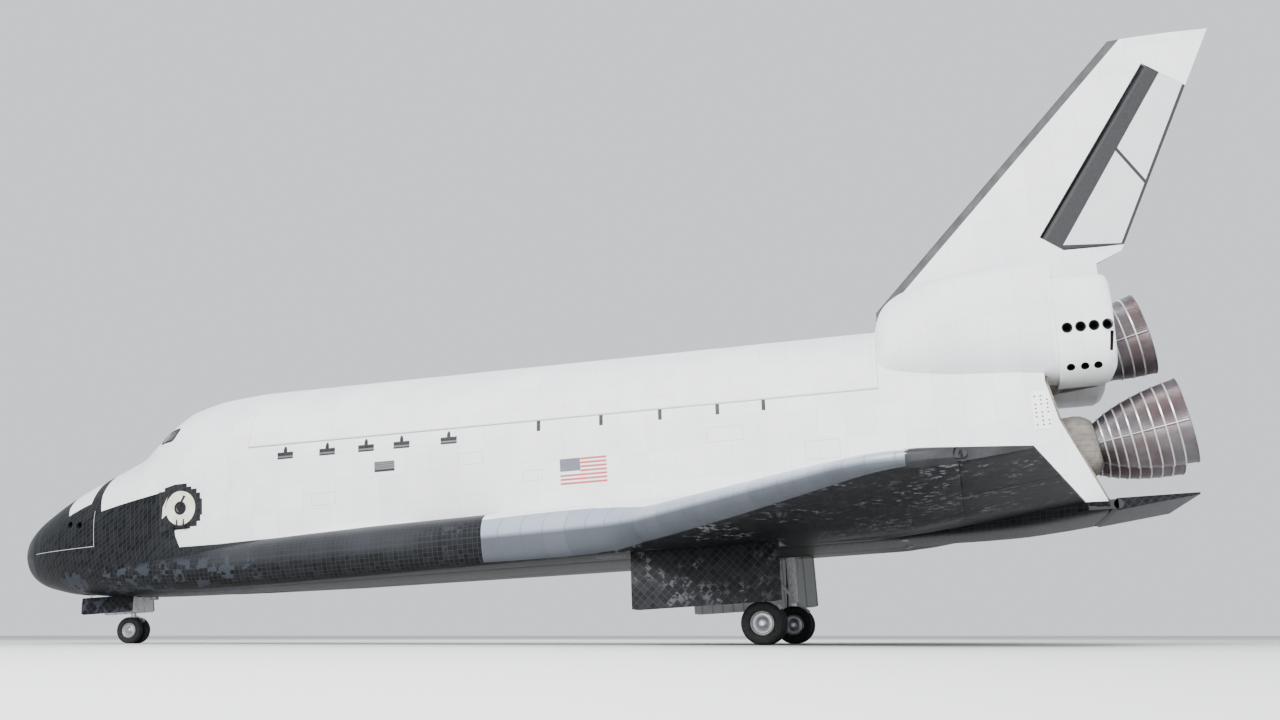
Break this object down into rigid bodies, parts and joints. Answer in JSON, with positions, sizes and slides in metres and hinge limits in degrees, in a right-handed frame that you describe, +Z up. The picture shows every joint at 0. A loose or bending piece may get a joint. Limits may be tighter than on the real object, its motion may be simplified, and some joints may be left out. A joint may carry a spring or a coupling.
{
  "type": "space shuttle orbiter",
  "caption": "Winged space shuttle orbiter parked on its wheels, with opening payload bay doors and side hatch, elevons, body flap, split rudder and three main engine nozzles.",
  "frame": {"origin": "centre of the bounding box, on the ground under the tyres", "axes": "+X aft, nose towards -X; +Y to starboard; +Z up"},
  "size_m": [36.4458, 23.7896, 17.2937],
  "materials": {
    "white_tile": "matt white tiles and quilted blankets with faint joints",
    "black_tile": "black glazed tiles, weathered, with fine joints",
    "grey_carbon": "grey reinforced carbon panels, satin",
    "window_glass": "dark clear panes",
    "hatch_paint": "pale yellow white paint",
    "base_blanket": "beige grey heat blanket",
    "nozzle_metal": "ribbed bell, silver with heat tint",
    "cockpit_panels": "dark grey panels and seats",
    "gear_paint": "white gear paint",
    "bare_steel": "bare steel",
    "wheel_metal": "grey wheel metal",
    "tyre_rubber": "ribbed black rubber"
  },
  "bodies": {
    "airframe": {"nose_cap": "grey_carbon", "forward_rcs_module": "black_tile", "forward_fuselage_lower": "black_tile", "crew_cabin_shell": "white_tile", "windshield_centre_left": "window_glass", "windshield_centre_right": "window_glass", "windshield_middle_left": "window_glass", "windshield_middle_right": "window_glass", "windshield_side_left": "window_glass", "windshield_side_right": "window_glass", "overhead_window_left": "window_glass", "overhead_window_right": "window_glass", "flight_deck": "cockpit_panels", "mid_fuselage": "white_tile", "base_heat_shield": "base_blanket", "main_engine_top": "nozzle_metal", "main_engine_left": "nozzle_metal", "main_engine_right": "nozzle_metal", "aft_fuselage": "white_tile", "oms_pod_left": "white_tile", "oms_pod_right": "white_tile", "vertical_fin": "white_tile", "wing_left": "black_tile", "wing_right": "black_tile", "wing_leading_edge_left": "grey_carbon", "wing_leading_edge_right": "grey_carbon", "nose_gear_leg": "gear_paint", "main_gear_leg_left": "gear_paint", "main_gear_leg_right": "gear_paint", "nose_gear_door_left": "black_tile", "nose_gear_door_right": "black_tile", "main_gear_door_left": "black_tile", "main_gear_door_right": "black_tile"},
    "nose_steering": {"nose_gear_fork": "bare_steel"},
    "nose_wheels": {"nose_hub_left": "wheel_metal", "nose_hub_right": "wheel_metal", "nose_tyre_left": "tyre_rubber", "nose_tyre_right": "tyre_rubber"},
    "main_wheels_left": {"main_hub_left_outer": "wheel_metal", "main_tyre_left_outer": "tyre_rubber", "main_hub_left_inner": "wheel_metal", "main_tyre_left_inner": "tyre_rubber"},
    "main_wheels_right": {"main_hub_right_outer": "wheel_metal", "main_tyre_right_outer": "tyre_rubber", "main_hub_right_inner": "wheel_metal", "main_tyre_right_inner": "tyre_rubber"},
    "payload_bay_door_left": {"payload_bay_door_left": "white_tile"},
    "payload_bay_door_right": {"payload_bay_door_right": "white_tile"},
    "crew_hatch": {"crew_hatch": "hatch_paint", "hatch_window": "window_glass"},
    "inboard_elevon_left": {"inboard_elevon_left": "black_tile"},
    "outboard_elevon_left": {"outboard_elevon_left": "black_tile"},
    "inboard_elevon_right": {"inboard_elevon_right": "black_tile"},
    "outboard_elevon_right": {"outboard_elevon_right": "black_tile"},
    "body_flap": {"body_flap": "black_tile"},
    "rudder": {"rudder_shaft": "bare_steel"},
    "speed_brake_left": {"rudder_panel_left": "white_tile"},
    "speed_brake_right": {"rudder_panel_right": "white_tile"}
  },
  "joints": [
    {"name": "nose_steering", "type": "hinge", "parent": "airframe", "child": "nose_steering", "pos_m": [-14.46691, 0, 0.4014], "axis": [-0.061, 0, 0.9981], "range_deg": [-9, 9]},
    {"name": "nose_wheels", "type": "hinge", "parent": "nose_steering", "child": "nose_wheels", "pos_m": [-14.46691, 0, 0.4014], "axis": [0, 1, 0], "continuous": true},
    {"name": "main_wheels_left", "type": "hinge", "parent": "airframe", "child": "main_wheels_left", "pos_m": [5.75423, -3.4544, 0.55819], "axis": [0, 1, 0], "continuous": true},
    {"name": "main_wheels_right", "type": "hinge", "parent": "airframe", "child": "main_wheels_right", "pos_m": [5.75423, 3.4544, 0.55819], "axis": [0, 1, 0], "continuous": true},
    {"name": "payload_bay_door_left", "type": "hinge", "parent": "airframe", "child": "payload_bay_door_left", "pos_m": [-0.39674, -2.58621, 6.26349], "axis": [0.9981, 0, 0.061], "range_deg": [0, 175.5]},
    {"name": "payload_bay_door_right", "type": "hinge", "parent": "airframe", "child": "payload_bay_door_right", "pos_m": [-0.39674, 2.58621, 6.26349], "axis": [-0.9981, 0, -0.061], "range_deg": [0, 175.5]},
    {"name": "crew_hatch", "type": "hinge", "parent": "airframe", "child": "crew_hatch", "pos_m": [-11.64925, -2.57433, 3.3766], "axis": [0.9936, -0.0957, 0.0608], "range_deg": [0, 90]},
    {"name": "inboard_elevon_left", "type": "hinge", "parent": "airframe", "child": "inboard_elevon_left", "pos_m": [11.04347, -5.68007, 3.53329], "axis": [0.0038, 0.9981, -0.0623], "range_deg": [-35, 20]},
    {"name": "outboard_elevon_left", "type": "hinge", "parent": "airframe", "child": "outboard_elevon_left", "pos_m": [11.02751, -9.8629, 3.7943], "axis": [0.0038, 0.9981, -0.0623], "range_deg": [-35, 20]},
    {"name": "inboard_elevon_right", "type": "hinge", "parent": "airframe", "child": "inboard_elevon_right", "pos_m": [11.04347, 5.68007, 3.53329], "axis": [-0.0038, 0.9981, 0.0623], "range_deg": [-35, 20]},
    {"name": "outboard_elevon_right", "type": "hinge", "parent": "airframe", "child": "outboard_elevon_right", "pos_m": [11.02751, 9.8629, 3.7943], "axis": [-0.0038, 0.9981, 0.0623], "range_deg": [-35, 20]},
    {"name": "body_flap", "type": "hinge", "parent": "airframe", "child": "body_flap", "pos_m": [14.80235, 0, 3.52867], "axis": [0, 1, 0], "range_deg": [-11.7, 22.5]},
    {"name": "rudder", "type": "hinge", "parent": "airframe", "child": "rudder", "pos_m": [13.49048, 0, 11.26081], "axis": [0.52, 0, 0.8541], "range_deg": [-27.1, 27.1]},
    {"name": "speed_brake_left", "type": "hinge", "parent": "rudder", "child": "speed_brake_left", "pos_m": [13.49048, 0, 11.26081], "axis": [-0.52, 0, -0.8541], "range_deg": [0, 43.6]},
    {"name": "speed_brake_right", "type": "hinge", "parent": "rudder", "child": "speed_brake_right", "pos_m": [13.49048, 0, 11.26081], "axis": [0.52, 0, 0.8541], "range_deg": [0, 43.6]}
  ],
  "couplings": [
    {"joint": "speed_brake_right", "follows": "speed_brake_left", "ratio": 1}
  ]
}
